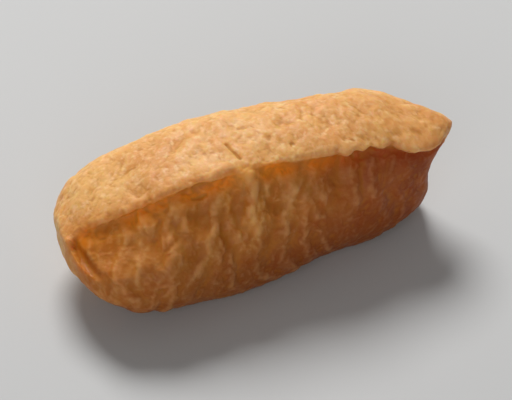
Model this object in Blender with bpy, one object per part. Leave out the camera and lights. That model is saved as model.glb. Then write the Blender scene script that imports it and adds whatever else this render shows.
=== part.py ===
"""A long inari sushi: vinegared rice shut inside a pouch of fried tofu, lying on the pouch's folded mouth.

The pouch is one closed solid. It is built like a pillow, from two panels of tofu skin that share one rim:
the back panel makes the flat top and the back, and the front panel makes the puckered front. The rim is the
pouch's own closed edge. It runs along the top as a lip, sticks out past the right end as a blunt ear, and
comes down both ends as a seam. Underneath, the mouth's two flaps are folded in and meet in a groove.

Lengths are in metres. +X runs along the pouch towards the ear, +Y towards the back and +Z up, and the
origin is on the table, under the middle of the pouch's box.
"""

import bpy
import numpy as np
from mathutils import Vector, noise

MM = 0.001

# The stuffed pouch, before its lip, ear and folds.
HALF_LENGTH = 39.3 * MM
HALF_WIDTH = 17.3 * MM
HEIGHT = 33.8 * MM
PLAN_POWER = 3.6  # how square the outline is from above, where 2 is an ellipse
SECTION_POWER = 2.48  # how square a cut across the pouch is
NARROWING = 0.24  # share of the width lost from the middle to the right end
BOW = 1.1 * MM  # how far the middle stands behind the ends
SEAM_RIDGE = 0.9 * MM  # how far each seam stands out from its end
SEAM_WIDTH = 3.5 * MM
SEAM_BACK = (1.3 * MM, 0.0)  # how far the left and right seams stand behind the centreline
TOP_DROP = (0.46, 0.21)  # share of the height that the top loses at the left and right ends
TOP_POWER = (2.2, 3.6)  # how suddenly it does
KEEL_RISE = (0.33, 0.11)  # share of the height that the underside gains there
KEEL_POWER = (3.0, 3.0)

# The rim's way along the top, as its lean from upright towards the front.
RIM_LEAN = np.radians(20.5)
RIM_LEAN_GAIN = np.radians(19.5)  # added at the right end and taken off at the left
RIM_END_POWER = 18.0  # how suddenly the rim turns into each seam
SETBACK = np.radians(4.2)  # taken off the lean beside the left end
SETBACK_AT, SETBACK_WIDTH = -0.96, 0.14

# The front is drawn in below the rim, which leaves the top's edge standing over it.
FRONT_PULL = 3.6 * MM  # at its deepest, a third of the way down to where it fades out
FRONT_PULL_END = np.radians(205)  # as a section angle, from +Y over the top

# The lip that the top's edge makes, and the groove under it, at stations from the left end to the right.
LIP_STATIONS = (-1.0, -0.9, -0.5, 0.1, 0.45, 0.7, 0.88, 0.96, 1.0)
LIP_REACH = np.array((0.0, 0.4, 1.8, 0.7, 1.7, 1.9, 3.7, 0.6, 0.0)) * MM
GROOVE_DEPTH = np.array((0.0, 1.0, 0.9, 0.5, 0.9, 1.4, 1.4, 0.9, 0.0)) * MM
LIP_FOLLOW = 0.5  # the lip's slope as a share of the rim's lean
LIP_SPREAD = 5.0 * MM
LIP_THICKNESS = 1.6 * MM
GROOVE_AT = 2.4 * MM  # below the rim
GROOVE_DIP = np.radians(25)
LIP_WAVE = 0.9 * MM
LIP_WAVE_SIZE = 4.5 * MM

# Two places where the lip is pinched: a pleat that joins it to the front, and a notch near the ear.
PLEAT_AT, PLEAT_WIDTH = -2.6 * MM, 2.4 * MM
PLEAT_HEIGHT, PLEAT_LENGTH = 0.9 * MM, 13.0 * MM
NOTCH_AT, NOTCH_WIDTH, NOTCH_DEPTH = 28.5 * MM, 2.0 * MM, 0.5

# The ear at the right end: the way it is drawn out, and its size along, across and down.
EAR_PULL = np.array((6.2, -3.1, -1.5)) * MM
EAR_SIZE = np.array((7.9, 11.8, 7.3)) * MM
EAR_FORWARD = 1.6 * MM  # how far the ear's middle stands before the seam
EAR_POWER = 1.7

# The tuck that folds the left end in: where its groove runs, and how wide its two flanks are.
TUCK_START = 8.0 * MM  # from the left seam, at the rim
TUCK_SLOPE = 0.28  # how fast it leaves the seam on its way down
TUCK_DEPTH = 1.4 * MM
TUCK_FLANKS = (3.2 * MM, 1.8 * MM)
TUCK_LENGTH = 15.0 * MM
FOLD_START = 2.0 * MM  # how far below the rim the front's folds reach their height

# The flat that the pouch's weight presses underneath, and the groove between the mouth's two flaps.
FOOT_DEPTH = 1.5 * MM
FOOT_BLEND = 0.4 * MM
MOUTH_DEPTH = 1.2 * MM
MOUTH_WIDTH = 2.5 * MM

# Hollows and swellings left by the rice and by the fingers that shut the pouch.
SWELL_SIZE = 12.0 * MM
SWELL_DEPTH = 1.0 * MM
SWELL_START = 8.0 * MM  # above the table, so that the foot stays even
PUCKER_SIZE = np.array((3.6, 15.0, 15.0)) * MM
PUCKER_DEPTH = 1.3 * MM
PUCKER_DEEPEST = 11.0 * MM  # below the rim
PUCKER_STRAY = 6.0 * MM  # how far the puckers wander sideways
PUCKER_LOSS = 0.7  # share of their depth that is lost from the middle to the right end

# Single lumps and dents: place, radius and height, negative for a dent.
LUMPS = (
    ((32.0, 11.0, 27.0), 7.0, 2.0),
    ((37.5, 1.0, 27.5), 3.2, 0.8),
    ((21.5, 13.0, 26.5), 6.0, -0.9),
    ((-27.5, 14.0, 27.0), 6.5, 0.7),
    ((-2.0, -13.0, 4.0), 6.5, 0.9),
    ((11.5, -11.5, 5.5), 6.0, -0.6),
    ((9.0, 12.0, 31.0), 7.0, -0.8),
)

STATIONS = 76
COLUMNS = 32  # in each panel
CURVE_STEPS = 400  # in the fine curves that the stations and columns are spaced along
SEED_STEP = 17.3  # between two noise fields, in blobs
CROWDING = 0.45  # how much closer the columns stand at the rim than half way down
TOFU_COLOUR = (0.66, 0.40, 0.17, 1.0)
TOFU_ROUGHNESS = 0.45


def signed_power(value, power):
    return np.sign(value) * np.abs(value) ** power


def bell(value, width):
    return np.exp(-((value / width) ** 2))


def trough(value, deepest):
    """0 at the edge, 1 where it is deepest, and 0 again soon after."""
    share = value / deepest
    return share**2 * np.exp(1.0 - share**2)


def early_hump(share):
    """0 at both ends of the way from 0 to 1, and 1 a third of the way along."""
    return 27 / 4 * share * (1.0 - share) ** 2


def at_end(amounts, powers, along):
    """The left or the right amount, grown from nothing in the middle to all of it at that end."""
    amount = np.where(along < 0, amounts[0], amounts[1])
    power = np.where(along < 0, powers[0], powers[1])
    return amount * np.abs(along) ** power


def field(points, size, seed):
    """Smooth noise around 0 for blobs of this size, which is one length or one for each axis."""
    places = points / size + SEED_STEP * seed
    return np.array([noise.noise(p) for p in places.reshape(-1, 3)]).reshape(places.shape[:-1])


def plan_stations(count):
    """Stations evenly spaced round the outline from above: place along, half width and distance run."""
    angle = np.linspace(0.0, np.pi, 10 * CURVE_STEPS + 1)
    along = -signed_power(np.cos(angle), 2.0 / PLAN_POWER)
    width = np.abs(np.sin(angle)) ** (2.0 / PLAN_POWER) * HALF_WIDTH
    step = np.hypot(np.diff(along) * HALF_LENGTH, np.diff(width))
    run = np.concatenate([[0.0], np.cumsum(step)])
    even = np.linspace(0.0, run[-1], count + 1)
    along, width = np.interp(even, run, along), np.interp(even, run, width)
    width[[0, -1]] = 0.0
    return along, width * (1.0 - NARROWING * along), even


def rim_lean(along):
    lean = RIM_LEAN + RIM_LEAN_GAIN * along - SETBACK * bell(along - SETBACK_AT, SETBACK_WIDTH)
    return lean * (1.0 - np.abs(along) ** RIM_END_POWER)


def half_section(along, half_width, columns, front):
    """One panel's part of a cut across the pouch, from rim to keel, and the length run from the rim."""
    top = HEIGHT * (1.0 - at_end(TOP_DROP, TOP_POWER, along))
    keel = HEIGHT * at_end(KEEL_RISE, KEEL_POWER, along)
    rim = np.pi / 2 + rim_lean(along)
    angle = np.linspace(rim, np.pi * (1.5 if front else -0.5), CURVE_STEPS)
    y = half_width * signed_power(np.cos(angle), 2.0 / SECTION_POWER)
    z = (top - keel) / 2 * signed_power(np.sin(angle), 2.0 / SECTION_POWER)
    if front:
        share = np.clip((angle - rim) / (FRONT_PULL_END - rim), 0.0, 1.0)
        pull = FRONT_PULL * early_hump(share) * half_width / HALF_WIDTH
        y, z = y - pull * np.cos(angle), z - pull * np.sin(angle)
    run = np.concatenate([[0.0], np.cumsum(np.hypot(np.diff(y), np.diff(z)))])
    even = np.linspace(0.0, 1.0, columns + 1)
    even = run[-1] * (even - CROWDING * np.sin(np.pi * even) / np.pi)
    middle = BOW * (1.0 - along**2) + at_end(SEAM_BACK, TOP_POWER, along)
    y, z = np.interp(even, run, y) + middle, np.interp(even, run, z) + (top + keel) / 2
    x = along * HALF_LENGTH + np.sign(along) * SEAM_RIDGE * np.exp(-half_width / SEAM_WIDTH)
    return np.column_stack([np.full(columns + 1, x), y, z]), even


def pinch(x):
    """The share of the lip and groove that is left beside the pleat and the notch."""
    return (1.0 - bell(x - PLEAT_AT, PLEAT_WIDTH)) * (1.0 - NOTCH_DEPTH * bell(x - NOTCH_AT, NOTCH_WIDTH))


def lip_shift(along, run, front):
    """The lip, pushed out over the front and leaning down, with a groove pressed in under it."""
    x = along * HALF_LENGTH
    line = np.column_stack([x, 0.0 * x, 0.0 * x])
    wave = 1.0 + LIP_WAVE / LIP_REACH.max() * field(line, LIP_WAVE_SIZE, 3)
    reach = np.interp(along, LIP_STATIONS, LIP_REACH) * pinch(x) * wave
    depth = np.interp(along, LIP_STATIONS, GROOVE_DEPTH) * pinch(x)
    dip = LIP_FOLLOW * rim_lean(along)
    outward = np.column_stack([0.0 * x, -np.cos(dip), -np.sin(dip)])
    inward = np.array((0.0, np.cos(GROOVE_DIP), -np.sin(GROOVE_DIP)))
    if not front:
        return (reach[:, None] * bell(run, LIP_SPREAD))[..., None] * outward[:, None]
    lip = reach[:, None] * (0.5 + 0.5 * np.cos(np.pi * np.clip(run / LIP_THICKNESS, 0.0, 1.0)))
    groove = depth[:, None] * trough(run, GROOVE_AT)
    return lip[..., None] * outward[:, None] + groove[..., None] * inward


def ear_shift(points, corner):
    """The pouch's top right corner, drawn out into a flap that is flat below."""
    away = points - corner + np.array((0.0, EAR_FORWARD, 0.0))
    away[..., 2] = np.minimum(away[..., 2], 0.0)
    distance = np.linalg.norm(away / EAR_SIZE, axis=-1)
    return np.exp(-(distance**EAR_POWER))[..., None] * EAR_PULL


def front_folds(x, run, seam_run):
    """How high the front's own folds stand: the left tuck's groove and the pleat under the lip."""
    beside = seam_run - TUCK_START - TUCK_SLOPE * run
    flank = np.where(beside < 0, *TUCK_FLANKS)
    tuck = bell(beside, flank) * np.exp(-((run / TUCK_LENGTH) ** 4))
    pleat = bell(x - PLEAT_AT, PLEAT_WIDTH) * np.exp(-((run / PLEAT_LENGTH) ** 2))
    return np.clip(run / FOLD_START, 0.0, 1.0) * (PLEAT_HEIGHT * pleat - TUCK_DEPTH * tuck)


def puckering(along, run):
    """How strongly the front is puckered at each station and distance below the rim."""
    share = run / PUCKER_DEEPEST
    strength = 1.0 - PUCKER_LOSS * np.clip(along, 0.0, 1.0)
    return strength[:, None] * share * np.exp(1.0 - share) * (1.0 - (run / run[:, -1:]) ** 4)


def panel(stations, columns, front):
    """A panel as a grid of points before its shifts, and the length run from the rim at each."""
    along, half_width, _ = plan_stations(stations)
    sections = [half_section(s, w, columns, front) for s, w in zip(along, half_width)]
    return np.array([section for section, _ in sections]), np.array([length for _, length in sections])


def joined(front, back):
    """One list of values: all of the front's grid, then the back's without the borders that they share."""
    rest = back[1:-1, 1:-1]
    return np.concatenate([front.reshape(-1, *front.shape[2:]), rest.reshape(-1, *rest.shape[2:])])


def joined_faces(stations, columns):
    """Four-cornered faces over the joined list, all turned outwards."""
    front = np.arange((stations + 1) * (columns + 1)).reshape(stations + 1, columns + 1)
    back = front.copy()
    back[1:-1, 1:-1] = front.size + np.arange((stations - 1) * (columns - 1)).reshape(stations - 1, -1)
    sides = []
    for grid in (front, back):
        corners = np.stack([grid[:-1, :-1], grid[:-1, 1:], grid[1:, 1:], grid[1:, :-1]], axis=-1)
        sides.append(corners.reshape(-1, 4))
    return np.concatenate([sides[0], sides[1][:, ::-1]])


def point_normals(points, faces):
    a, b, c, d = (points[faces[:, k]] for k in range(4))
    facing = np.cross(c - a, d - b)
    normals = np.zeros_like(points)
    for k in range(4):
        np.add.at(normals, faces[:, k], facing)
    return normals / np.linalg.norm(normals, axis=1, keepdims=True)


def lumps(points):
    height = np.zeros(len(points))
    for place, radius, rise in LUMPS:
        away = np.linalg.norm(points - np.array(place) * MM, axis=1)
        height += rise * MM * bell(away, radius * MM)
    return height


def pressed(z):
    """The underside pressed flat on the table: exactly 0 on the foot, and eased into the rest."""
    z = z - FOOT_DEPTH
    eased = (z + FOOT_BLEND) ** 2 / (4 * FOOT_BLEND)
    return np.where(z > FOOT_BLEND, z, np.where(z > -FOOT_BLEND, eased, 0.0))


def pouch_surface(stations, columns):
    """The whole pouch's points and faces, standing on the table."""
    along, _, seam_run = plan_stations(stations)
    front, front_run = panel(stations, columns, True)
    back, back_run = panel(stations, columns, False)
    smooth = joined(front, back)
    faces = joined_faces(stations, columns)
    flat = 0.0 * back_run
    height = joined(front_folds(front[..., 0], front_run, seam_run[:, None]), flat)
    above_foot = np.clip(smooth[:, 2] / SWELL_START, 0.0, 1.0)
    height += lumps(smooth) + SWELL_DEPTH * above_foot * field(smooth, SWELL_SIZE, 2)
    strayed = smooth + PUCKER_STRAY * field(smooth, SWELL_SIZE, 4)[:, None]
    height += PUCKER_DEPTH * joined(puckering(along, front_run), flat) * field(strayed, PUCKER_SIZE, 1)
    shift = joined(lip_shift(along, front_run, True), lip_shift(along, back_run, False))
    points = smooth + shift + ear_shift(smooth, front[-1, 0])
    points += height[:, None] * point_normals(points, faces)
    from_keel = joined(front_run[:, -1:] - front_run, back_run[:, -1:] - back_run)
    mouth = MOUTH_DEPTH * np.clip(1.0 - from_keel / MOUTH_WIDTH, 0.0, 1.0) ** 2
    points[:, 2] = pressed(points[:, 2]) + mouth
    return points, faces


def tofu_material():
    material = bpy.data.materials.new("fried_tofu")
    material.use_nodes = True
    shader = material.node_tree.nodes["Principled BSDF"]
    shader.inputs["Base Color"].default_value = TOFU_COLOUR
    shader.inputs["Roughness"].default_value = TOFU_ROUGHNESS
    return material


def build_pouch():
    points, faces = pouch_surface(STATIONS, COLUMNS)
    points[:, :2] -= (points[:, :2].min(axis=0) + points[:, :2].max(axis=0)) / 2
    mesh = bpy.data.meshes.new("pouch")
    mesh.from_pydata([Vector(p) for p in points], [], faces.tolist())
    mesh.shade_smooth()
    mesh.materials.append(tofu_material())
    pouch = bpy.data.objects.new("pouch", mesh)
    bpy.context.scene.collection.objects.link(pouch)


for old in list(bpy.data.objects):
    bpy.data.objects.remove(old)
build_pouch()
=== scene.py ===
import math
from types import SimpleNamespace

import bpy
import numpy as np
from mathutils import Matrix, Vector, noise


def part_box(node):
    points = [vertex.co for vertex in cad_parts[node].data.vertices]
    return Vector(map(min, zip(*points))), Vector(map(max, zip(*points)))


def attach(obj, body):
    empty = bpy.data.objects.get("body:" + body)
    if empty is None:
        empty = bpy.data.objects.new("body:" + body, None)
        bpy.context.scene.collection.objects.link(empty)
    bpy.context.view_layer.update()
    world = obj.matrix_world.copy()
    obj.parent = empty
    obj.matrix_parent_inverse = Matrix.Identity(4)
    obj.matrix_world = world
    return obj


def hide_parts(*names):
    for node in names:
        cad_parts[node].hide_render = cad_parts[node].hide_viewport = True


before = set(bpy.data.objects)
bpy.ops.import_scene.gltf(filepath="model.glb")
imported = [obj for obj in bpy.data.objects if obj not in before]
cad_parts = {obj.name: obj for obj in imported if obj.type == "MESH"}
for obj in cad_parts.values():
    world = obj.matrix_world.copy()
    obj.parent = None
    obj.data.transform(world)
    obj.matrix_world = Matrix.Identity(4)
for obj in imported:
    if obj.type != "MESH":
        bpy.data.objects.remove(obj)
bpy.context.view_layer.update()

MM = 0.001

# ---------------------------------------------------------------------------------------------------------
# The pouch's form. It is a pillow of two panels that share one rim: the back panel makes the flat top and
# the back, and the front panel makes the puckered front. These are the solid's own sizes and rules.

HALF_LENGTH = 39.3 * MM
HALF_WIDTH = 17.3 * MM
HEIGHT = 33.8 * MM
PLAN_POWER = 3.6
SECTION_POWER = 2.48
NARROWING = 0.24
BOW = 1.1 * MM
SEAM_RIDGE = 0.9 * MM
SEAM_WIDTH = 3.5 * MM
SEAM_BACK = (1.3 * MM, 0.0)
TOP_DROP, TOP_POWER = (0.46, 0.21), (2.2, 3.6)
KEEL_RISE, KEEL_POWER = (0.33, 0.11), (3.0, 3.0)
RIM_LEAN = math.radians(20.5)
RIM_LEAN_GAIN = math.radians(19.5)
RIM_END_POWER = 18.0
SETBACK = math.radians(4.2)
SETBACK_AT, SETBACK_WIDTH = -0.96, 0.14
FRONT_PULL = 3.6 * MM
FRONT_PULL_END = math.radians(205)

LIP_STATIONS = (-1.0, -0.9, -0.5, 0.1, 0.45, 0.7, 0.88, 0.96, 1.0)
LIP_REACH = np.array((0.0, 0.4, 1.8, 0.7, 1.7, 1.9, 3.7, 0.6, 0.0)) * MM
GROOVE_DEPTH = np.array((0.0, 1.0, 0.9, 0.5, 0.9, 1.4, 1.4, 0.9, 0.0)) * MM
LIP_FOLLOW = 0.5
LIP_SPREAD = 5.0 * MM
LIP_THICKNESS = 1.6 * MM
GROOVE_AT = 2.4 * MM
GROOVE_DIP = math.radians(25)
LIP_WAVE = 0.9 * MM
LIP_WAVE_SIZE = 4.5 * MM
PLEAT_AT, PLEAT_WIDTH = -2.6 * MM, 2.4 * MM
PLEAT_HEIGHT, PLEAT_LENGTH = 0.9 * MM, 13.0 * MM
NOTCH_AT, NOTCH_WIDTH, NOTCH_DEPTH = 28.5 * MM, 2.0 * MM, 0.5

EAR_PULL = np.array((6.2, -3.1, -1.5)) * MM
EAR_SIZE = np.array((7.9, 11.8, 7.3)) * MM
EAR_FORWARD = 1.6 * MM
EAR_POWER = 1.7
TUCK_START = 8.0 * MM
TUCK_SLOPE = 0.28
TUCK_DEPTH = 1.4 * MM
TUCK_FLANKS = (3.2 * MM, 1.8 * MM)
TUCK_LENGTH = 15.0 * MM
FOLD_START = 2.0 * MM

FOOT_DEPTH = 1.5 * MM
FOOT_BLEND = 0.4 * MM
MOUTH_DEPTH = 1.2 * MM
MOUTH_WIDTH = 2.5 * MM

SWELL_SIZE = 12.0 * MM
SWELL_DEPTH = 1.0 * MM
SWELL_START = 8.0 * MM
PUCKER_SIZE = np.array((3.6, 15.0, 15.0)) * MM
PUCKER_DEPTH = 1.3 * MM
PUCKER_DEEPEST = 11.0 * MM
PUCKER_STRAY = 6.0 * MM
PUCKER_LOSS = 0.7
LUMPS = (
    ((32.0, 11.0, 27.0), 7.0, 2.0),
    ((37.5, 1.0, 27.5), 3.2, 0.8),
    ((21.5, 13.0, 26.5), 6.0, -0.9),
    ((-27.5, 14.0, 27.0), 6.5, 0.7),
    ((-2.0, -13.0, 4.0), 6.5, 0.9),
    ((11.5, -11.5, 5.5), 6.0, -0.6),
    ((9.0, 12.0, 31.0), 7.0, -0.8),
)

STATIONS = 336
COLUMNS = 146
CROWDING = 0.35
CURVE_STEPS = 400
SEED_STEP = 17.3

# The rim is rounded over before the relief goes on, and the end seams after it.
EDGE_SOFTENING, EDGE_ROUNDS = 1.8 * MM, 30
SEAM_SOFTENING, SEAM_ROUNDS = 3.5 * MM, 60
RELIEF_FADE = 4.0 * MM  # towards the end seams

# The skin's own relief, finer than the solid's. Everywhere: cobbles, an orange-peel grain and dents.
WANDER, WANDER_SIZE = 1.2 * MM, 2.5 * MM
COBBLE_SIZE, COBBLE_HEIGHT, COBBLE_ROUNDS = 2.3 * MM, 0.3 * MM, 4
COBBLE_LEAST, COBBLE_PATCH_SIZE = 0.35, 8.0 * MM
QUILTED, QUILTED_RADIUS, QUILTED_GAIN = np.array((14.0, 4.0, 32.0)) * MM, 14.0 * MM, 0.75
PEEL_SIZE, PEEL_HEIGHT, PEEL_LOSS = 0.85 * MM, 0.1 * MM, 0.3  # the losses are shares lost on the front
DENT_SIZE, DENT_DEPTH, DENT_LOSS = 4.5 * MM, 0.6 * MM, 0.75
GRAIN_SIZE, GRAIN_HEIGHT = 0.5 * MM, 0.05 * MM

# On the front: froth, crumples, streaks and folds.
FRONT_START = (0.0, 1.5 * MM)
FROTH_SIZE, FROTH_HEIGHT = 1.2 * MM, 0.13 * MM
HANG_STRAY, HANG_SIZE, HANG_SLANT = 1.5 * MM, 4.0 * MM, 0.35
CRUMPLE_SIZE, CRUMPLE_HEIGHT, CRUMPLE_LEVEL = np.array((2.0, 3.6, 3.6)) * MM, 0.2 * MM, 0.2
STREAK_SIZE, STREAK_HEIGHT = np.array((1.3, 2.6, 2.6)) * MM, 0.15 * MM
CALM_AT_ENDS, CALM_BELOW = (0.0, 8.0 * MM), 0.55
# Folds in the front, each from one place to another, as (x, distance below the rim), with its half width
# and its height, in millimetres. The first two are the pleat's crest and the fork to its right.
FOLDS = (
    ((-2.5, 1.0), (-3.5, 14.0), 1.0, 0.4),
    ((-1.0, 1.8), (2.5, 8.5), 0.9, 0.4),
    ((-25.7, 3.5), (-29.8, 14.0), 1.7, 0.5),
    ((-19.0, 4.5), (-21.0, 15.0), 1.4, 0.5),
    ((-9.0, 6.0), (-17.0, 18.5), 1.5, 0.45),
    ((6.5, 5.0), (3.0, 16.0), 1.2, 0.55),
    ((12.0, 3.5), (11.0, 14.0), 1.2, 0.5),
    ((20.5, 6.0), (18.5, 17.0), 1.0, 0.2),
    ((26.5, 5.0), (26.0, 15.5), 1.1, 0.28),
    ((-22.5, 4.5), (-25.5, 14.0), 1.1, -0.45),
    ((-15.5, 7.5), (-18.5, 15.5), 2.1, -0.75),
    ((-25.4, 19.4), (-25.3, 19.9), 0.6, -0.9),
    ((-6.5, 8.0), (-11.0, 18.0), 1.2, -0.5),
    ((2.5, 9.5), (-1.5, 19.0), 1.5, -0.35),
    ((17.0, 4.5), (15.0, 13.0), 2.4, -0.55),
)
FOLD_WOBBLE, FOLD_WOBBLE_SIZE = 1.6 * MM, 4.0 * MM
FOLD_USUAL, FOLD_VARIATION, FOLD_PATCH_SIZE = 0.75, 0.5, 3.0 * MM

# In the top: creases and pinholes, each from one place to another, as (x, y), with half width and depth.
CREASES = (
    ((-4.2, 0.4), (-2.9, -4.2), 0.34, 0.5),
    ((0.0, 3.5), (3.0, 3.0), 0.5, 0.18),
    ((13.0, 1.5), (14.5, 4.0), 0.5, 0.14),
    ((-14.5, -6.5), (-12.0, -7.2), 0.4, 0.3),
    ((8.5, -4.4), (8.9, -4.4), 0.4, 0.35),
    ((21.0, -7.0), (21.2, -7.2), 0.4, 0.35),
)
CREASE_WOBBLE, CREASE_WOBBLE_SIZE = 0.4 * MM, 2.0 * MM

# Along the lip: a fine curl all the way, and larger lobes beside the ear, pushed the way the lip leans.
CURL_SIZE, CURL_HEIGHT, CURL_REACH = 1.6 * MM, 0.3 * MM, 1.2 * MM
LOBES_AT, LOBES_WIDTH = 25.0 * MM, 9.0 * MM
LOBE_SIZE, LOBE_HEIGHT, LOBE_REACH = 3.0 * MM, 2.2 * MM, LIP_THICKNESS + 0.8 * MM
LOBE_WAY = (0.0, -0.9, -0.44)

# Where the skin's looks change: a start and how long the change takes, or the middle of a band and its half
# width. BELOW is along the skin from the rim, LEFT and RIGHT are along x from the middle.
# The front's painted shade towards the bottom starts here, and the relief calms down here.
LOW_BELOW = (12.0 * MM, 12.0 * MM)
# Painted shade: the front darker and redder towards the right and towards the bottom.
PAINTED_SHADE_RIGHT, PAINTED_SHADE_LOW_GAIN = (-1.0 * MM, 26.0 * MM), 0.45
BELLY_BELOW, BELLY_LEFT = (11.0 * MM, 7.0 * MM), (3.0 * MM, 15.0 * MM)
TIP_RIGHT = (22.0 * MM, 14.0 * MM)
# The band under the lip that gets the painted glow and shade.
UNDER_LIP_BELOW = (2.5 * MM, 2.2 * MM)
RIGHT_OF_TUCK = (-2.0 * MM, 2.0 * MM)
# Where the painted shade in the tuck's groove goes.
TUCKED_RIGHT_OF_TUCK, TUCKED_BELOW = (1.1 * MM, 0.9 * MM), (8.0 * MM, 6.0 * MM)
# Where the painted shade on the lip's rolled-over edge goes.
RIM_BELOW, RIM_LEFT = (0.4 * MM, 2.3 * MM), (4.8 * MM, 8.0 * MM)
# Where the painted glow at the pleat goes.
PLEAT_BELOW, PLEAT_LOOK_WIDTH = (1.5 * MM, 3.0 * MM), 3.2 * MM
CELL_EDGE = 0.35  # how high a cell's edge reaches, as a share of the cell
EAR_SHARE = (0.6, 0.2)  # of the ear's pull, past which the skin has the top's look on both sides

# The simmered look of the front starts just under the lip. At the end seams and the mouth it meets the back's
# look half way, along a ragged line.
SIMMERED_FRONT, SIMMERED_BACK = (0.5 * MM, 1.5 * MM), (4.0 * MM, 6.0 * MM)
SEAM_BLEND, SEAM_SHARE = 6.0 * MM, 0.5
SEAM_RAGGED, SEAM_RAGGED_SIZE = 2.5 * MM, 3.0 * MM

# Patches in a look: their size and seed, the look's usual share, how much it varies and its least share.
TIP_PATCHES = (3.2 * MM, 20, 0.6, 2.2, 0.0)
LIP_PATCHES = (4.5 * MM, 18, 0.75, 1.2, 0.2)

# How much of each kind of relief gives its colour's whole share.
STREAK_WHOLE, FOLD_WHOLE, SLIT_WHOLE = 1.1, 0.55, 0.6
FINE_ROUNDS, FINE_WHOLE = 10, 0.08 * MM
BROAD_ROUNDS, BROAD_WHOLE = 90, 0.5 * MM

UV_MARGIN = 0.01


def signed_power(value, power):
    return np.sign(value) * np.abs(value) ** power


def bell(value, width):
    return np.exp(-((value / width) ** 2))


def band(value, middle, width):
    """1 in the middle of a band, and less and less away from it."""
    return bell(value - middle, width)


def rising(value, start, distance):
    """0 up to the start, and 1 from this distance past it."""
    return np.clip((value - start) / distance, 0.0, 1.0)


def falling(value, distance):
    """1 at nothing, and 0 from this distance on."""
    return np.clip(1.0 - value / distance, 0.0, 1.0)


def trough(value, deepest):
    """0 at the edge, 1 where it is deepest, and 0 again soon after."""
    share = value / deepest
    return share**2 * np.exp(1.0 - share**2)


def early_hump(share):
    """0 at both ends of the way from 0 to 1, and 1 a third of the way along."""
    return 27 / 4 * share * (1.0 - share) ** 2


def at_end(amounts, powers, along):
    """The left or the right amount, grown from nothing in the middle to all of it at that end."""
    amount = np.where(along < 0, amounts[0], amounts[1])
    power = np.where(along < 0, powers[0], powers[1])
    return amount * np.abs(along) ** power


def field(points, size, seed):
    """Smooth noise around 0 for blobs of this size, which is one length or one for each axis."""
    places = points / size + SEED_STEP * seed
    return np.array([noise.noise(p) for p in places.reshape(-1, 3)]).reshape(places.shape[:-1])


def patches(points, size, seed, usual, variation, least):
    """A share from the least to 1 that varies in patches of this size."""
    return np.clip(usual + variation * field(points, size, seed), least, 1.0)


def domes(points, size, seed):
    """Rounded cobbles of this size: 1 in the middle of each and 0 in the creases between them."""
    places = points / size + SEED_STEP * seed
    nearest = np.array([noise.voronoi(p)[0][:2] for p in places])
    return 1.0 - (nearest[:, 0] / nearest[:, 1]) ** 2


def from_segment(places, start, end):
    """How far each place is from the straight line between two places."""
    start, way = np.array(start), np.array(end) - np.array(start)
    share = np.clip((places - start) @ way / (way @ way), 0.0, 1.0)
    return np.linalg.norm(places - start - share[..., None] * way, axis=-1)


def plan_stations(count):
    """Stations evenly spaced round the outline from above: place along, half width and distance run."""
    angle = np.linspace(0.0, np.pi, 10 * CURVE_STEPS + 1)
    along = -signed_power(np.cos(angle), 2.0 / PLAN_POWER)
    width = np.abs(np.sin(angle)) ** (2.0 / PLAN_POWER) * HALF_WIDTH
    step = np.hypot(np.diff(along) * HALF_LENGTH, np.diff(width))
    run = np.concatenate([[0.0], np.cumsum(step)])
    even = np.linspace(0.0, run[-1], count + 1)
    along, width = np.interp(even, run, along), np.interp(even, run, width)
    width[[0, -1]] = 0.0
    return along, width * (1.0 - NARROWING * along), even


def rim_lean(along):
    lean = RIM_LEAN + RIM_LEAN_GAIN * along - SETBACK * bell(along - SETBACK_AT, SETBACK_WIDTH)
    return lean * (1.0 - np.abs(along) ** RIM_END_POWER)


def half_section(along, half_width, columns, front):
    """One panel's part of a cut across the pouch, from rim to keel, and the length run from the rim."""
    top = HEIGHT * (1.0 - at_end(TOP_DROP, TOP_POWER, along))
    keel = HEIGHT * at_end(KEEL_RISE, KEEL_POWER, along)
    rim = np.pi / 2 + rim_lean(along)
    angle = np.linspace(rim, np.pi * (1.5 if front else -0.5), CURVE_STEPS)
    y = half_width * signed_power(np.cos(angle), 2.0 / SECTION_POWER)
    z = (top - keel) / 2 * signed_power(np.sin(angle), 2.0 / SECTION_POWER)
    if front:
        share = np.clip((angle - rim) / (FRONT_PULL_END - rim), 0.0, 1.0)
        pull = FRONT_PULL * early_hump(share) * half_width / HALF_WIDTH
        y, z = y - pull * np.cos(angle), z - pull * np.sin(angle)
    run = np.concatenate([[0.0], np.cumsum(np.hypot(np.diff(y), np.diff(z)))])
    even = np.linspace(0.0, 1.0, columns + 1)
    even = run[-1] * (even - CROWDING * np.sin(np.pi * even) / np.pi)
    middle = BOW * (1.0 - along**2) + at_end(SEAM_BACK, TOP_POWER, along)
    y, z = np.interp(even, run, y) + middle, np.interp(even, run, z) + (top + keel) / 2
    x = along * HALF_LENGTH + np.sign(along) * SEAM_RIDGE * np.exp(-half_width / SEAM_WIDTH)
    return np.column_stack([np.full(columns + 1, x), y, z]), even


def pinch(x):
    """The share of the lip and groove that is left beside the pleat and the notch."""
    return (1.0 - bell(x - PLEAT_AT, PLEAT_WIDTH)) * (1.0 - NOTCH_DEPTH * bell(x - NOTCH_AT, NOTCH_WIDTH))


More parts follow.
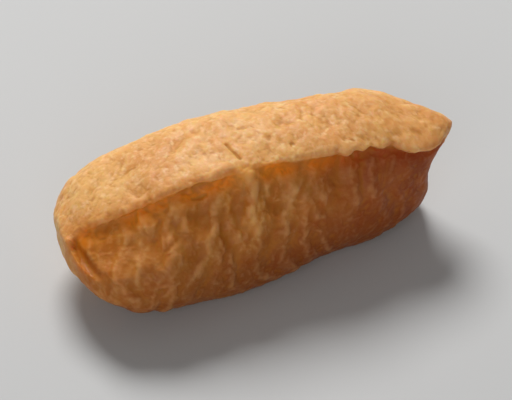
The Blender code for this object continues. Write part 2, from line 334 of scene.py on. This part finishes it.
def lip_shift(along, run, front):
    """The lip, pushed out over the front and leaning down, with a groove pressed in under it."""
    x = along * HALF_LENGTH
    line = np.column_stack([x, 0.0 * x, 0.0 * x])
    wave = 1.0 + LIP_WAVE / LIP_REACH.max() * field(line, LIP_WAVE_SIZE, 3)
    reach = np.interp(along, LIP_STATIONS, LIP_REACH) * pinch(x) * wave
    depth = np.interp(along, LIP_STATIONS, GROOVE_DEPTH) * pinch(x)
    dip = LIP_FOLLOW * rim_lean(along)
    outward = np.column_stack([0.0 * x, -np.cos(dip), -np.sin(dip)])
    inward = np.array((0.0, math.cos(GROOVE_DIP), -math.sin(GROOVE_DIP)))
    if not front:
        return (reach[:, None] * bell(run, LIP_SPREAD))[..., None] * outward[:, None]
    lip = reach[:, None] * (0.5 + 0.5 * np.cos(np.pi * np.clip(run / LIP_THICKNESS, 0.0, 1.0)))
    groove = depth[:, None] * trough(run, GROOVE_AT)
    return lip[..., None] * outward[:, None] + groove[..., None] * inward


def ear_shift(points, corner):
    """The pouch's top right corner, drawn out into a flap that is flat below."""
    away = points - corner + np.array((0.0, EAR_FORWARD, 0.0))
    away[..., 2] = np.minimum(away[..., 2], 0.0)
    distance = np.linalg.norm(away / EAR_SIZE, axis=-1)
    return np.exp(-(distance**EAR_POWER))[..., None] * EAR_PULL


def front_folds(x, run, seam_run):
    """How high the front's own folds stand: the left tuck's groove and the pleat under the lip."""
    beside = beside_tuck(run, seam_run)
    flank = np.where(beside < 0, *TUCK_FLANKS)
    tuck = bell(beside, flank) * np.exp(-((run / TUCK_LENGTH) ** 4))
    pleat = bell(x - PLEAT_AT, PLEAT_WIDTH) * np.exp(-((run / PLEAT_LENGTH) ** 2))
    return np.clip(run / FOLD_START, 0.0, 1.0) * (PLEAT_HEIGHT * pleat - TUCK_DEPTH * tuck)


def beside_tuck(run, seam_run):
    """How far a place is from the tuck's groove, as front_folds has it, negative on the strip at the left."""
    return seam_run - TUCK_START - TUCK_SLOPE * run


def puckering(along, run):
    """How strongly the front is puckered at each station and distance below the rim."""
    share = run / PUCKER_DEEPEST
    strength = 1.0 - PUCKER_LOSS * np.clip(along, 0.0, 1.0)
    return strength[:, None] * share * np.exp(1.0 - share) * (1.0 - (run / run[:, -1:]) ** 4)


def panel(stations, columns, front):
    """A panel as a grid of points before its shifts, and the length run from the rim at each."""
    along, half_width, _ = plan_stations(stations)
    sections = [half_section(s, w, columns, front) for s, w in zip(along, half_width)]
    return np.array([section for section, _ in sections]), np.array([length for _, length in sections])


def joined(front, back):
    """One list of values: all of the front's grid, then the back's without the borders that they share."""
    rest = back[1:-1, 1:-1]
    return np.concatenate([front.reshape(-1, *front.shape[2:]), rest.reshape(-1, *rest.shape[2:])])


def front_only(values):
    """The front's grid joined to a back that is all 0."""
    return joined(values, 0.0 * values)


def on_both(values, columns):
    """One value for each station, the same all the way down the front and the back."""
    grid = np.repeat(values[:, None], columns + 1, axis=1)
    return joined(grid, grid)


def joined_faces(stations, columns):
    """Four-cornered faces over the joined list, all turned outwards."""
    front = np.arange((stations + 1) * (columns + 1)).reshape(stations + 1, columns + 1)
    back = front.copy()
    back[1:-1, 1:-1] = front.size + np.arange((stations - 1) * (columns - 1)).reshape(stations - 1, -1)
    sides = []
    for grid in (front, back):
        corners = np.stack([grid[:-1, :-1], grid[:-1, 1:], grid[1:, 1:], grid[1:, :-1]], axis=-1)
        sides.append(corners.reshape(-1, 4))
    return np.concatenate([sides[0], sides[1][:, ::-1]])


def face_uvs(stations, columns):
    """The faces' places on a flat sheet: the front in its lower half and the back in its upper half."""
    across = np.linspace(UV_MARGIN, 1.0 - UV_MARGIN, stations + 1)
    up = np.linspace(0.0, 0.5 - 2 * UV_MARGIN, columns + 1)
    u, v = np.meshgrid(across, up, indexing="ij")
    sides = []
    for start in (UV_MARGIN, 0.5 + UV_MARGIN):
        grid = np.stack([u, v + start], axis=-1)
        corners = np.stack([grid[:-1, :-1], grid[:-1, 1:], grid[1:, 1:], grid[1:, :-1]], axis=-2)
        sides.append(corners.reshape(-1, 4, 2))
    return np.concatenate([sides[0], sides[1][:, ::-1]])


def point_normals(points, faces):
    a, b, c, d = (points[faces[:, k]] for k in range(4))
    facing = np.cross(c - a, d - b)
    normals = np.zeros_like(points)
    for k in range(4):
        np.add.at(normals, faces[:, k], facing)
    return normals / np.linalg.norm(normals, axis=1, keepdims=True)


def lumps(points):
    height = np.zeros(len(points))
    for place, radius, rise in LUMPS:
        away = np.linalg.norm(points - np.array(place) * MM, axis=1)
        height += rise * MM * bell(away, radius * MM)
    return height


def pressed(z):
    """The underside pressed flat on the table: exactly 0 on the foot, and eased into the rest."""
    z = z - FOOT_DEPTH
    eased = (z + FOOT_BLEND) ** 2 / (4 * FOOT_BLEND)
    return np.where(z > FOOT_BLEND, z, np.where(z > -FOOT_BLEND, eased, 0.0))


def smoothed(values, faces, rounds):
    """The values averaged with their neighbours' over and over."""
    corners = faces.ravel()
    count = np.bincount(corners, minlength=len(values))
    for _ in range(rounds):
        middles = np.repeat(values[faces].mean(axis=1), 4, axis=0)
        sums = [np.bincount(corners, column, len(values)) for column in middles.T]
        values = np.stack(sums, axis=1) / count[:, None]
    return values


def solid_form(stations, columns):
    """The solid's surface before it is pressed flat, with the measures that the skin goes by."""
    along, half_width, seam_run = plan_stations(stations)
    front, front_run = panel(stations, columns, True)
    back, back_run = panel(stations, columns, False)
    smooth = joined(front, back)
    faces = joined_faces(stations, columns)
    run = joined(front_run, back_run)

    height = front_only(front_folds(front[..., 0], front_run, seam_run[:, None]))
    above_foot = rising(smooth[:, 2], 0.0, SWELL_START)
    height += lumps(smooth) + SWELL_DEPTH * above_foot * field(smooth, SWELL_SIZE, 2)
    strayed = smooth + PUCKER_STRAY * field(smooth, SWELL_SIZE, 4)[:, None]
    puckers = front_only(puckering(along, front_run))
    height += PUCKER_DEPTH * puckers * field(strayed, PUCKER_SIZE, 1)
    lip = joined(lip_shift(along, front_run, True), lip_shift(along, back_run, False))
    ear = ear_shift(smooth, front[-1, 0])
    points = smooth + lip + ear
    points += height[:, None] * point_normals(points, faces)
    points += bell(run, EDGE_SOFTENING)[:, None] * (smoothed(points, faces, EDGE_ROUNDS) - points)

    return SimpleNamespace(
        points=points,
        smooth=smooth,
        faces=faces,
        puckers=puckers,
        front_run=front_run,
        back_run=back_run,
        run=run,
        low=rising(run, *LOW_BELOW),
        from_keel=joined(front_run[:, -1:] - front_run, back_run[:, -1:] - back_run),
        end_run=on_both(np.minimum(seam_run, seam_run[-1] - seam_run), columns),
        end_width=on_both(half_width, columns),
        beside_tuck=beside_tuck(front_run, seam_run[:, None]),
        on_front=front_only(rising(front_run, *FRONT_START)),
        off_ear=1.0 - rising(ear[:, 0] / EAR_PULL[0], *EAR_SHARE),
    )


def skin_relief(form):
    """The relief that is all over the skin, with its cells, their patches and its peel."""
    points, on_front = form.points, form.on_front
    wandering = points + WANDER * field(points, WANDER_SIZE, 5)[:, None]
    cells = domes(wandering, COBBLE_SIZE, 6)
    cobbles = smoothed(cells[:, None], form.faces, COBBLE_ROUNDS)[:, 0]
    cobbled = COBBLE_LEAST + field(points, COBBLE_PATCH_SIZE, 7)
    cobbled += QUILTED_GAIN * bell(np.linalg.norm(points - QUILTED, axis=1), QUILTED_RADIUS)
    peel = field(wandering, PEEL_SIZE, 8)
    relief = COBBLE_HEIGHT * cobbled * cobbles
    relief += PEEL_HEIGHT * (1.0 - PEEL_LOSS * on_front) * peel
    relief += DENT_DEPTH * (1.0 - DENT_LOSS * on_front) * field(wandering, DENT_SIZE, 9)
    relief += GRAIN_HEIGHT * field(points, GRAIN_SIZE, 11)
    relief += FROTH_HEIGHT * on_front * field(wandering, FROTH_SIZE, 19)
    relief += CURL_HEIGHT * bell(form.run, CURL_REACH) * field(points, CURL_SIZE, 12)
    return relief, cells, cobbled, peel


def hanging_relief(form):
    """The relief that hangs on the front, with its streaks and folds."""
    smooth = form.smooth
    hanging = smooth + HANG_STRAY * field(smooth, HANG_SIZE, 17)[:, None]
    hanging += np.outer(HANG_SLANT * form.run, (1.0, 0.0, 0.0))
    strength = rising(form.end_run, *CALM_AT_ENDS) * (1.0 - CALM_BELOW * form.low)
    crumples = form.puckers * strength * (np.abs(field(hanging, CRUMPLE_SIZE, 10)) - CRUMPLE_LEVEL)
    streaks = form.on_front * strength * field(hanging, STREAK_SIZE, 13)
    strayed = smooth[:, 0] + FOLD_WOBBLE * field(smooth, FOLD_WOBBLE_SIZE, 14)
    places = np.stack([strayed, form.run], axis=-1) / MM
    folds = sum(rise * bell(from_segment(places, start, end), width) for start, end, width, rise in FOLDS)
    folds *= form.on_front * (FOLD_USUAL + FOLD_VARIATION * field(hanging, FOLD_PATCH_SIZE, 15))
    relief = CRUMPLE_HEIGHT * crumples + STREAK_HEIGHT * streaks + MM * folds
    return relief, streaks, folds


def top_slits(form):
    """How deep the creases and pinholes in the top are, in millimetres."""
    wobble = CREASE_WOBBLE * field(form.smooth, CREASE_WOBBLE_SIZE, 16)
    places = (form.points[:, :2] + wobble[:, None]) / MM
    slits = sum(depth * bell(from_segment(places, start, end), width) for start, end, width, depth in CREASES)
    return slits * (form.points[:, 2] > HEIGHT / 2)


def lip_lobes(form):
    """The lobes of the lip beside the ear, as shifts."""
    beside_ear = band(form.smooth[:, 0], LOBES_AT, LOBES_WIDTH)
    lobes = LOBE_HEIGHT * beside_ear * bell(form.run, LOBE_REACH)
    return np.outer(lobes * field(form.smooth * (1.0, 0.0, 0.0), LOBE_SIZE, 23), LOBE_WAY)


def simmered_share(form):
    """How simmered the skin looks: all of it on the front, and shared with the back along the seams."""
    from_seam = np.minimum(form.end_run, form.from_keel)
    ragged = from_seam + SEAM_RAGGED * field(form.smooth, SEAM_RAGGED_SIZE, 21)
    shared = SEAM_SHARE * falling(ragged, SEAM_BLEND)
    front = front_only(rising(form.front_run, *SIMMERED_FRONT))
    back = joined(0.0 * form.front_run, rising(form.back_run, *SIMMERED_BACK))
    return form.off_ear * (front * (1.0 - shared) + back * shared)


def hollowness(points, faces, rounds):
    """How far each point lies below the surface smoothed this often."""
    return ((smoothed(points, faces, rounds) - points) * point_normals(points, faces)).sum(axis=1)


def pouch_surface(stations, columns):
    """The skin's points and faces, with the looks that go with its shape."""
    form = solid_form(stations, columns)
    faces, run = form.faces, form.run
    relief, cells, cobbled, peel = skin_relief(form)
    hanging, streaks, folds = hanging_relief(form)
    slits = top_slits(form)
    inside = 1.0 - np.exp(-form.end_width / RELIEF_FADE)
    relief = inside * (relief + hanging - MM * slits)
    points = form.points + relief[:, None] * point_normals(form.points, faces) + lip_lobes(form)
    at_seam = np.exp(-form.end_width / SEAM_SOFTENING)[:, None]
    points += at_seam * (smoothed(points, faces, SEAM_ROUNDS) - points)
    points[:, 2] = pressed(points[:, 2]) + MOUTH_DEPTH * falling(form.from_keel, MOUTH_WIDTH) ** 2

    x = points[:, 0]
    # Where the painted glow and shade under the lip go.
    under_lip = front_only(band(form.front_run, *UNDER_LIP_BELOW) * rising(form.beside_tuck, *RIGHT_OF_TUCK))
    tucked = front_only(band(form.beside_tuck, *TUCKED_RIGHT_OF_TUCK) * band(form.front_run, *TUCKED_BELOW))
    pleat = front_only(band(form.front_run, *PLEAT_BELOW))
    # Painted shade, growing towards the right of the front and towards its bottom.
    shade_right_start, shade_right_distance = PAINTED_SHADE_RIGHT
    painted_shade_right_low = (x - shade_right_start) / shade_right_distance + PAINTED_SHADE_LOW_GAIN * form.low
    looks = {
        "front": simmered_share(form),
        "painted_shade_right_low": np.clip(painted_shade_right_low, 0.0, 1.0),
        "low": form.low,
        "belly": band(run, *BELLY_BELOW) * rising(-x, *BELLY_LEFT),
        "tip": rising(x, *TIP_RIGHT) * patches(form.smooth, *TIP_PATCHES),
        "under_lip": under_lip * pinch(form.smooth[:, 0]) * form.off_ear * patches(form.smooth, *LIP_PATCHES),
        "tucked": tucked * inside,
        "cell_edge": falling(cells, CELL_EDGE) * np.clip(cobbled, 0.0, 1.0),
        "rim": band(run, *RIM_BELOW) * rising(-x, *RIM_LEFT),
        "pleat": pleat * band(form.smooth[:, 0], PLEAT_AT, PLEAT_LOOK_WIDTH),
        "streak": streaks / STREAK_WHOLE + folds / FOLD_WHOLE,
        "slit": slits / SLIT_WHOLE,
        "peel": peel,
        "fine_hollow": hollowness(points, faces, FINE_ROUNDS) / FINE_WHOLE,
        "broad_hollow": hollowness(points, faces, BROAD_ROUNDS) / BROAD_WHOLE,
    }
    return points, faces, looks


# ---------------------------------------------------------------------------------------------------------
# Materials


# The colours of the fried top and of the simmered front, and of the painted glow and shade under the lip (an
# orange glow where light would pass through the lip, turning to painted shade towards the right): each goes
# from the first to the second as what it follows goes from its low end to its high one. A length stands for
# noise of that size, and a word for a look of the surface.
TOP_BASE = (9.0 * MM, (0.38, 0.62), (0.72, 0.33, 0.10), (0.83, 0.46, 0.155))
FRONT_BASE = (4.0 * MM, (0.38, 0.62), (0.54, 0.157, 0.013), (0.67, 0.26, 0.041))
PAINTED_LIP_GLOW_AND_SHADE = ("painted_shade_right_low", (0.3, 1.0), (0.90, 0.265, 0.005), (0.44, 0.060, 0.001))

# The coats over them, each over the ones before: what it follows, the values where it starts and where it has
# its whole share, that share, and its colour.
TOP_COATS = (
    (3.0 * MM, (0.45, 0.7), 0.6, (0.80, 0.42, 0.165)),
    (1.3 * MM, (0.5, 0.75), 0.7, (0.92, 0.62, 0.33)),
    ("peel", (0.0, -0.4), 0.35, (0.66, 0.28, 0.05)),
    ("cell_edge", (0.0, 1.0), 0.45, (0.62, 0.25, 0.05)),
    ("tip", (0.0, 1.0), 0.55, (0.68, 0.28, 0.072)),
)
FRONT_COATS = (
    # Painted highlights: light specks standing in for moist glints.
    (1.8 * MM, (0.52, 0.72), 0.55, (0.83, 0.46, 0.155)),
    # Painted light: lighter on the raised streaks and folds.
    ("streak", (0.0, 1.0), 0.5, (0.74, 0.40, 0.13)),
    # Painted shade: darker and redder towards the right and the bottom of the front.
    ("painted_shade_right_low", (0.0, 1.0), 0.8, (0.32, 0.050, 0.003)),
    # Painted shade: darker in the sunken streaks and folds.
    ("streak", (0.0, -1.0), 0.45, (0.40, 0.10, 0.006)),
    ("belly", (0.0, 1.0), 0.6, (0.41, 0.13, 0.010)),
    # Painted shade: darker towards the bottom of the front.
    ("low", (0.0, 1.0), 0.8, (0.22, 0.045, 0.0025)),
    # Painted shade on the front at the right end, under the ear.
    ("tip", (0.0, 1.0), 0.55, (0.20, 0.028, 0.002)),
)
# Painted shade: darker in the broad hollows.
UNDER_COATS = (("broad_hollow", (0.1, 1.0), 0.5, (0.50, 0.14, 0.01)),)
UNDER_LIP = (0.0, 0.9)
OVER_COATS = (
    # Painted glow: a lighter amber under the lip at the pleat.
    ("pleat", (0.0, 1.0), 0.65, (0.88, 0.39, 0.07)),
    # Painted shade on the lip's edge where the top rolls over, at the left.
    ("rim", (0.0, 1.0), 0.55, (0.62, 0.215, 0.028)),
    # Painted shade in the fine hollows.
    ("fine_hollow", (0.1, 1.2), 0.4, (0.50, 0.17, 0.015)),
    # Painted highlight on the fine crests.
    ("fine_hollow", (-0.2, -2.2), 0.2, (0.88, 0.54, 0.23)),
    # Painted shade in the creases and pinholes of the top.
    ("slit", (0.1, 0.8), 0.7, (0.56, 0.22, 0.02)),
    # Painted shade in the tuck's groove.
    ("tucked", (0.0, 1.0), 0.85, (0.40, 0.10, 0.005)),
)

# The skin's sheen and its finest grain.
MOIST_SIZE, MOIST_NOISE, MOIST_ROUGHNESS = 2.5 * MM, (0.3, 0.7), (0.45, 0.66)
NOISE_DETAIL = 3.0
BUMP_SIZE, BUMP_DETAIL, BUMP_STRENGTH, BUMP_DISTANCE = 0.55 * MM, 4.0, 0.8, 0.12 * MM
SKIN_SHADING = {
    "Subsurface Weight": 0.7,
    "Subsurface Radius": (1.0, 0.38, 0.12),
    "Subsurface Scale": 2.8 * MM,
    "Specular IOR Level": 0.22,
    "Coat Weight": 0.04,
    "Coat Roughness": 0.22,
}
FLOOR_SHADING = {"Base Color": (0.54, 0.54, 0.535, 1.0), "Roughness": 0.7}


def principled(name, shading):
    """A new material with these values on its shader, which comes back with its node tree."""
    material = bpy.data.materials.new(name)
    material.use_nodes = True
    shader = material.node_tree.nodes["Principled BSDF"]
    for socket, value in shading.items():
        shader.inputs[socket].default_value = value
    return material, material.node_tree, shader


def add(tree, kind, **settings):
    node = tree.nodes.new(kind)
    for key, value in settings.items():
        setattr(node, key, value)
    return node


def tofu_material():
    material, tree, shader = principled("fried_tofu", SKIN_SHADING)
    link = tree.links.new
    place = add(tree, "ShaderNodeTexCoord").outputs["Object"]

    def noise_of(size, detail=NOISE_DETAIL):
        node = add(tree, "ShaderNodeTexNoise")
        node.inputs["Scale"].default_value = 1.0 / size
        node.inputs["Detail"].default_value = detail
        link(place, node.inputs["Vector"])
        return node.outputs["Fac"]

    def source(what):
        """Noise of a size, or a look of the surface by its name."""
        if isinstance(what, str):
            return add(tree, "ShaderNodeAttribute", attribute_name=what).outputs["Fac"]
        return noise_of(what)

    def ranged(value, ends, new_ends=(0.0, 1.0)):
        node = add(tree, "ShaderNodeMapRange")
        link(value, node.inputs["Value"])
        for socket, number in zip(("From Min", "From Max", "To Min", "To Max"), (*ends, *new_ends)):
            node.inputs[socket].default_value = number
        return node.outputs["Result"]

    def mixed(share, first, second):
        node = add(tree, "ShaderNodeMix", data_type="RGBA")
        link(share, node.inputs["Factor"])
        for socket, colour in ((node.inputs[6], first), (node.inputs[7], second)):
            if isinstance(colour, tuple):
                socket.default_value = (*colour, 1.0)
            else:
                link(colour, socket)
        return node.outputs[2]

    def blend(what, ends, first, second):
        return mixed(ranged(source(what), ends), first, second)

    def coated(colour, coats):
        for what, ends, whole_share, coat in coats:
            colour = mixed(ranged(source(what), ends, (0.0, whole_share)), colour, coat)
        return colour

    top = coated(blend(*TOP_BASE), TOP_COATS)
    front = coated(blend(*FRONT_BASE), FRONT_COATS)
    skin = coated(mixed(source("front"), top, front), UNDER_COATS)
    # Painted glow and shade under the lip: orange where light would pass through the lip, dark towards the
    # right.
    skin = mixed(ranged(source("under_lip"), UNDER_LIP), skin, blend(*PAINTED_LIP_GLOW_AND_SHADE))
    skin = coated(skin, OVER_COATS)
    link(skin, shader.inputs["Base Color"])
    link(ranged(noise_of(MOIST_SIZE), MOIST_NOISE, MOIST_ROUGHNESS), shader.inputs["Roughness"])

    bump = add(tree, "ShaderNodeBump")
    bump.inputs["Strength"].default_value = BUMP_STRENGTH
    bump.inputs["Distance"].default_value = BUMP_DISTANCE
    link(noise_of(BUMP_SIZE, BUMP_DETAIL), bump.inputs["Height"])
    link(bump.outputs["Normal"], shader.inputs["Normal"])
    return material


def floor_material():
    material, _, _ = principled("floor", FLOOR_SHADING)
    return material


# ---------------------------------------------------------------------------------------------------------
# The piece, the floor, the lights and the camera

FLOOR_HALF = 3.0
# Each softbox: its azimuth and elevation in degrees, its distance, its width and its power.
SOFTBOXES = {
    "key": (172.0, 50.0, 1.1, 0.5, 11.6),
    "fill": (-32.0, 28.0, 1.4, 1.2, 5.9),
}
WORLD_STRENGTH = 0.16
CAMERA_AZIMUTH, CAMERA_ELEVATION, CAMERA_DISTANCE = -23.0, 44.0, 1.166
AIM_DROP = 3.5 * MM  # below the middle of the pouch
LENS = 390.0


def make_object(name, points, faces, material):
    mesh = bpy.data.meshes.new(name)
    mesh.from_pydata([Vector(p) for p in points], [], faces.tolist())
    mesh.shade_smooth()
    mesh.materials.append(material)
    made = bpy.data.objects.new(name, mesh)
    bpy.context.scene.collection.objects.link(made)
    return made


def add_skin():
    points, faces, looks = pouch_surface(STATIONS, COLUMNS)
    low, high = (np.array(corner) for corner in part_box("pouch"))
    points[:, :2] += ((low + high) / 2 - (points.min(axis=0) + points.max(axis=0)) / 2)[:2]
    skin = make_object("tofu_skin", points, faces, tofu_material())
    for name, values in looks.items():
        skin.data.attributes.new(name, "FLOAT", "POINT").data.foreach_set("value", values.astype(np.float32))
    uvs = skin.data.uv_layers.new(name="OFBake")
    uvs.data.foreach_set("uv", face_uvs(STATIONS, COLUMNS).astype(np.float32).ravel())
    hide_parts("pouch")
    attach(skin, "root")


def add_floor():
    corners = FLOOR_HALF * np.array([(-1.0, -1.0, 0.0), (1.0, -1.0, 0.0), (1.0, 1.0, 0.0), (-1.0, 1.0, 0.0)])
    floor = make_object("floor", corners, np.array([(0, 1, 2, 3)]), floor_material())


def direction(azimuth, elevation):
    """The way to a point seen from the pouch, with azimuth 0 in front and growing to the right."""
    a, e = math.radians(azimuth), math.radians(elevation)
    return Vector((math.sin(a) * math.cos(e), -math.cos(a) * math.cos(e), math.sin(e)))


def add_softbox(name, azimuth, elevation, distance, size, power):
    light = bpy.data.lights.new(name, "AREA")
    light.shape = "DISK"
    light.size = size
    light.energy = power
    lamp = bpy.data.objects.new(name, light)
    way = direction(azimuth, elevation)
    lamp.location = way * distance
    lamp.rotation_euler = way.to_track_quat("Z", "Y").to_euler()
    bpy.context.scene.collection.objects.link(lamp)


def add_lights():
    for name, settings in SOFTBOXES.items():
        add_softbox(name, *settings)
    world = bpy.data.worlds.new("studio")
    world.use_nodes = True
    background = world.node_tree.nodes["Background"]
    background.inputs["Color"].default_value = (1.0, 1.0, 1.0, 1.0)
    background.inputs["Strength"].default_value = WORLD_STRENGTH
    bpy.context.scene.world = world


def add_camera():
    data = bpy.data.cameras.new("camera")
    data.lens = LENS
    camera = bpy.data.objects.new("camera", data)
    low, high = (Vector(corner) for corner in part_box("pouch"))
    way = direction(CAMERA_AZIMUTH, CAMERA_ELEVATION)
    aim = (low + high) / 2 - Vector((0.0, 0.0, AIM_DROP))
    camera.location = aim + way * CAMERA_DISTANCE
    camera.rotation_euler = way.to_track_quat("Z", "Y").to_euler()
    bpy.context.scene.collection.objects.link(camera)
    bpy.context.scene.camera = camera


add_skin()
add_floor()
add_lights()
add_camera()
bpy.context.scene.view_settings.view_transform = "Standard"
